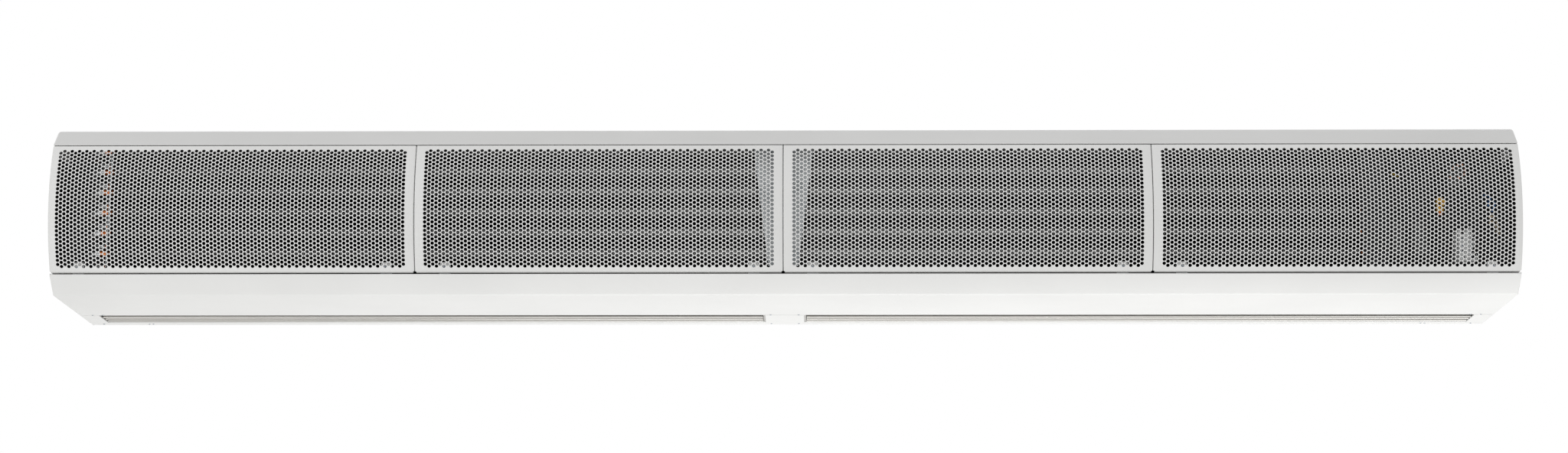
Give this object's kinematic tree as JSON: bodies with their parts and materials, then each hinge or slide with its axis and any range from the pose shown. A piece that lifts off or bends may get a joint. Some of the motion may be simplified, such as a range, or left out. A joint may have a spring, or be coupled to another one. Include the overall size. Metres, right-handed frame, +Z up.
{
  "type": "air curtain",
  "caption": "Long wall-mounted warm-air curtain with curved perforated intake grilles over a water coil, cross-flow fans and downward outlets with tilting slats.",
  "frame": {"origin": "on the wall, in the middle of the four wall bolts", "axes": "+X to the right along the casing seen from the room, +Y into the wall, +Z up"},
  "size_m": [2.072, 0.29, 0.2528],
  "materials": {
    "white_paint": "powder-coated sheet steel, semi-matt white",
    "top_paint": "powder-coated sheet steel, semi-matt white",
    "galvanised_steel": "galvanised sheet",
    "fin_aluminium": "thin aluminium fins dipped in black coating",
    "copper": "drawn copper tube",
    "valve_brass": "turned brass",
    "dark_steel": "dark primed steel",
    "bearing_rubber": "moulded rubber mount",
    "anodised_aluminium": "extruded, natural anodised",
    "impeller_aluminium": "rolled aluminium blades",
    "grey_plastic": "moulded, light grey",
    "orange_plastic": "moulded, orange",
    "blue_insulation": "wire insulation",
    "beige_insulation": "wire insulation",
    "yellow_insulation": "wire insulation",
    "black_plastic": "moulded, black",
    "zinc_steel": "zinc-plated steel"
  },
  "bodies": {
    "casing": {"rear_panel": "white_paint", "top_cover": "top_paint", "lower_panel": "white_paint", "end_plate_left": "white_paint", "end_plate_right": "white_paint", "centre_divider": "white_paint", "outlet_ends": "white_paint", "hinge_brackets": "galvanised_steel", "grille_catches": "galvanised_steel", "centre_bracket": "galvanised_steel", "coil_fins": "fin_aluminium", "coil_tubes": "copper", "coil_end_plates": "galvanised_steel", "coil_rails": "dark_steel", "flow_pipe": "copper", "return_pipe": "copper", "bleed_valve": "valve_brass", "scroll_left": "galvanised_steel", "scroll_right": "galvanised_steel", "tongue_left": "galvanised_steel", "tongue_right": "galvanised_steel", "fan_cheeks_left": "galvanised_steel", "fan_cheeks_right": "galvanised_steel", "motor_left": "dark_steel", "motor_right": "dark_steel", "bearings": "bearing_rubber", "outlet_frame_left": "anodised_aluminium", "outlet_frame_right": "anodised_aluminium", "electrics_plate": "dark_steel", "terminal_block": "grey_plastic", "capacitors": "black_plastic", "relay": "orange_plastic", "blue_wires": "blue_insulation", "beige_wires": "beige_insulation", "earth_wire": "yellow_insulation", "cable_gland": "black_plastic", "wall_brackets": "galvanised_steel", "hanger_rail": "galvanised_steel", "ceiling_inserts": "zinc_steel", "casing_rivets": "zinc_steel"},
    "fan_left": {"impeller_left": "impeller_aluminium", "rotor_left": "dark_steel"},
    "fan_right": {"impeller_right": "impeller_aluminium", "rotor_right": "dark_steel"},
    "grille_1": {"grille_1": "white_paint", "grille_fixings_1": "zinc_steel"},
    "grille_2": {"grille_2": "white_paint", "grille_fixings_2": "zinc_steel"},
    "grille_3": {"grille_3": "white_paint", "grille_fixings_3": "zinc_steel"},
    "grille_4": {"grille_4": "white_paint", "grille_fixings_4": "zinc_steel"},
    "slat_left_2": {"slat_left_2": "anodised_aluminium"},
    "slat_left_1": {"slat_left_1": "anodised_aluminium"},
    "slat_left_3": {"slat_left_3": "anodised_aluminium"},
    "link_left": {"link_left": "dark_steel"},
    "slat_right_2": {"slat_right_2": "anodised_aluminium"},
    "slat_right_1": {"slat_right_1": "anodised_aluminium"},
    "slat_right_3": {"slat_right_3": "anodised_aluminium"},
    "link_right": {"link_right": "dark_steel"}
  },
  "joints": [
    {"name": "fan_left_spin", "type": "hinge", "parent": "casing", "child": "fan_left", "pos_m": [-0.515, -0.112, 0.008], "axis": [1, 0, 0], "continuous": true},
    {"name": "fan_right_spin", "type": "hinge", "parent": "casing", "child": "fan_right", "pos_m": [0.515, -0.112, 0.008], "axis": [1, 0, 0], "continuous": true},
    {"name": "grille_1_tilt", "type": "hinge", "parent": "casing", "child": "grille_1", "pos_m": [-0.77925, -0.2765, 0.081], "axis": [-1, 0, 0], "range_deg": [0, 60]},
    {"name": "grille_2_tilt", "type": "hinge", "parent": "casing", "child": "grille_2", "pos_m": [-0.25975, -0.2765, 0.081], "axis": [-1, 0, 0], "range_deg": [0, 60]},
    {"name": "grille_3_tilt", "type": "hinge", "parent": "casing", "child": "grille_3", "pos_m": [0.25975, -0.2765, 0.081], "axis": [-1, 0, 0], "range_deg": [0, 60]},
    {"name": "grille_4_tilt", "type": "hinge", "parent": "casing", "child": "grille_4", "pos_m": [0.77925, -0.2765, 0.081], "axis": [-1, 0, 0], "range_deg": [0, 60]},
    {"name": "slat_left_2_tilt", "type": "hinge", "parent": "casing", "child": "slat_left_2", "pos_m": [-0.5185, -0.0483, -0.1085], "axis": [1, 0, 0], "range_deg": [-20, 20]},
    {"name": "slat_left_1_tilt", "type": "hinge", "parent": "casing", "child": "slat_left_1", "pos_m": [-0.5185, -0.0623, -0.1085], "axis": [1, 0, 0], "range_deg": [-20, 20]},
    {"name": "slat_left_3_tilt", "type": "hinge", "parent": "casing", "child": "slat_left_3", "pos_m": [-0.5185, -0.0343, -0.1085], "axis": [1, 0, 0], "range_deg": [-20, 20]},
    {"name": "link_left_slide", "type": "slide", "parent": "casing", "child": "link_left", "axis": [0, 1, 0], "range_m": [-0.0036, 0.0036]},
    {"name": "slat_right_2_tilt", "type": "hinge", "parent": "casing", "child": "slat_right_2", "pos_m": [0.5185, -0.0483, -0.1085], "axis": [1, 0, 0], "range_deg": [-20, 20]},
    {"name": "slat_right_1_tilt", "type": "hinge", "parent": "casing", "child": "slat_right_1", "pos_m": [0.5185, -0.0623, -0.1085], "axis": [1, 0, 0], "range_deg": [-20, 20]},
    {"name": "slat_right_3_tilt", "type": "hinge", "parent": "casing", "child": "slat_right_3", "pos_m": [0.5185, -0.0343, -0.1085], "axis": [1, 0, 0], "range_deg": [-20, 20]},
    {"name": "link_right_slide", "type": "slide", "parent": "casing", "child": "link_right", "axis": [0, 1, 0], "range_m": [-0.0036, 0.0036]}
  ],
  "couplings": [
    {"joint": "slat_left_1_tilt", "follows": "slat_left_2_tilt", "ratio": 1},
    {"joint": "slat_left_3_tilt", "follows": "slat_left_2_tilt", "ratio": 1},
    {"joint": "link_left_slide", "follows": "slat_left_2_tilt", "m_per_rad": -0.01},
    {"joint": "slat_right_1_tilt", "follows": "slat_right_2_tilt", "ratio": 1},
    {"joint": "slat_right_3_tilt", "follows": "slat_right_2_tilt", "ratio": 1},
    {"joint": "link_right_slide", "follows": "slat_right_2_tilt", "m_per_rad": -0.01}
  ]
}
